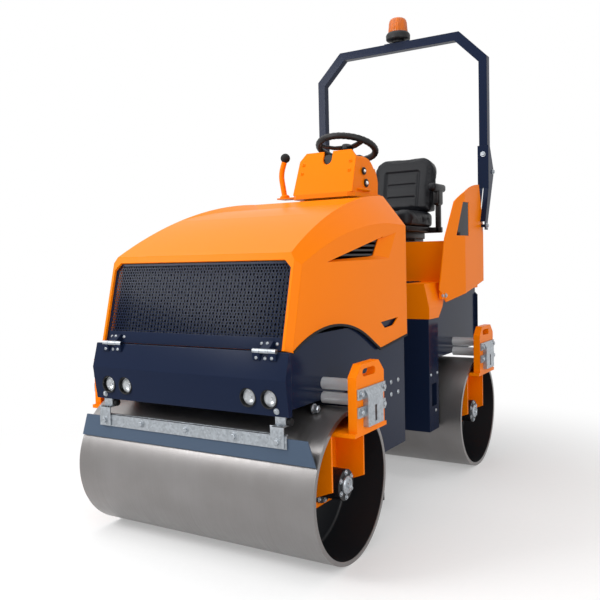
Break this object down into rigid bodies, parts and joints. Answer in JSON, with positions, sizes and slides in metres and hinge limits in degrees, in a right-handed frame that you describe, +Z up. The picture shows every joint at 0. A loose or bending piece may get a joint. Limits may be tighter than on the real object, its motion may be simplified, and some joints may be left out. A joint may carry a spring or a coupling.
{
  "type": "ride-on tandem roller",
  "caption": "Ride-on tandem roller with smooth steel drums, hinged front and rear frames, tilting hood, seat, steering console and folding roll-over hoop with beacon.",
  "frame": {"origin": "on the ground, under the middle of the machine's length and width", "axes": "+Z up, front of the machine towards -Y, the machine's left side at +X"},
  "size_m": [1.414, 2.29, 2.708],
  "materials": {
    "orange_paint": "gloss",
    "navy_paint": "satin",
    "slate_paint": "satin",
    "drum_steel": "ground",
    "zinc": "galvanised",
    "chrome": "polished",
    "black_steel": "satin",
    "black_plastic": "matte",
    "black_rubber": "matte",
    "black_vinyl": "grained",
    "lamp_glass": "clear",
    "amber_lens": "clear",
    "red_lens": "gloss"
  },
  "bodies": {
    "rear_frame": {"rear_frame": "navy_paint", "rear_panel": "navy_paint", "rear_lamps": "red_lens", "rear_arm_left": "orange_paint", "rear_arm_right": "orange_paint", "rear_slide_tubes": "chrome", "rear_clamp_plates": "zinc", "rear_hubs": "black_steel", "pivot_trunnion": "navy_paint", "platform": "orange_paint", "seat_box": "orange_paint", "console_pillar": "navy_paint", "console_deck": "orange_paint", "console": "orange_paint", "steering_column": "black_plastic", "drive_lever": "orange_paint", "seat_base": "black_plastic", "seat_cushion": "black_vinyl", "seat_back": "black_vinyl", "rops_support_left": "orange_paint", "rops_support_right": "orange_paint", "rops_sleeves": "navy_paint"},
    "front_frame": {"front_frame": "navy_paint", "front_panel": "navy_paint", "headlight_bezels": "black_plastic", "headlight_lenses": "lamp_glass", "front_arm_left": "orange_paint", "front_arm_right": "orange_paint", "front_slide_tubes": "chrome", "front_clamp_plates": "zinc", "front_hubs": "black_steel", "hinge_fixed": "navy_paint", "engine": "black_steel", "front_scraper_blade": "slate_paint", "front_scraper_bar": "zinc", "front_drum_flap": "black_rubber", "pivot_yoke": "navy_paint", "pivot_pin": "zinc"},
    "hood": {"hood": "orange_paint", "grille": "navy_paint", "vent_left": "black_plastic", "vent_right": "black_plastic", "hinge_moving": "navy_paint"},
    "front_drum": {"front_drum": "drum_steel"},
    "rear_drum": {"rear_drum": "drum_steel"},
    "steering_wheel": {"steering_wheel": "black_plastic"},
    "rops": {"rops_hoop": "navy_paint", "beacon_base": "black_plastic", "beacon_lens": "amber_lens"}
  },
  "joints": [
    {"name": "steering_pivot", "type": "hinge", "parent": "rear_frame", "child": "front_frame", "pos_m": [0, 0.106, 0.52], "axis": [0, 0, 1], "range_deg": [-30, 30]},
    {"name": "front_drum_roll", "type": "hinge", "parent": "front_frame", "child": "front_drum", "pos_m": [0, -0.84, 0.305], "axis": [1, 0, 0], "continuous": true},
    {"name": "rear_drum_roll", "type": "hinge", "parent": "rear_frame", "child": "rear_drum", "pos_m": [0, 0.722, 0.305], "axis": [1, 0, 0], "continuous": true},
    {"name": "hood_tilt", "type": "hinge", "parent": "front_frame", "child": "hood", "pos_m": [0, -1.124, 0.861], "axis": [1, 0, 0], "range_deg": [0, 70]},
    {"name": "steering_wheel_turn", "type": "hinge", "parent": "rear_frame", "child": "steering_wheel", "pos_m": [0, 0.311, 1.808], "axis": [0, 0.309, 0.9511], "continuous": true},
    {"name": "rops_fold", "type": "hinge", "parent": "rear_frame", "child": "rops", "pos_m": [0, 1.085, 1.7], "axis": [-1, 0, 0], "range_deg": [0, 100]}
  ]
}
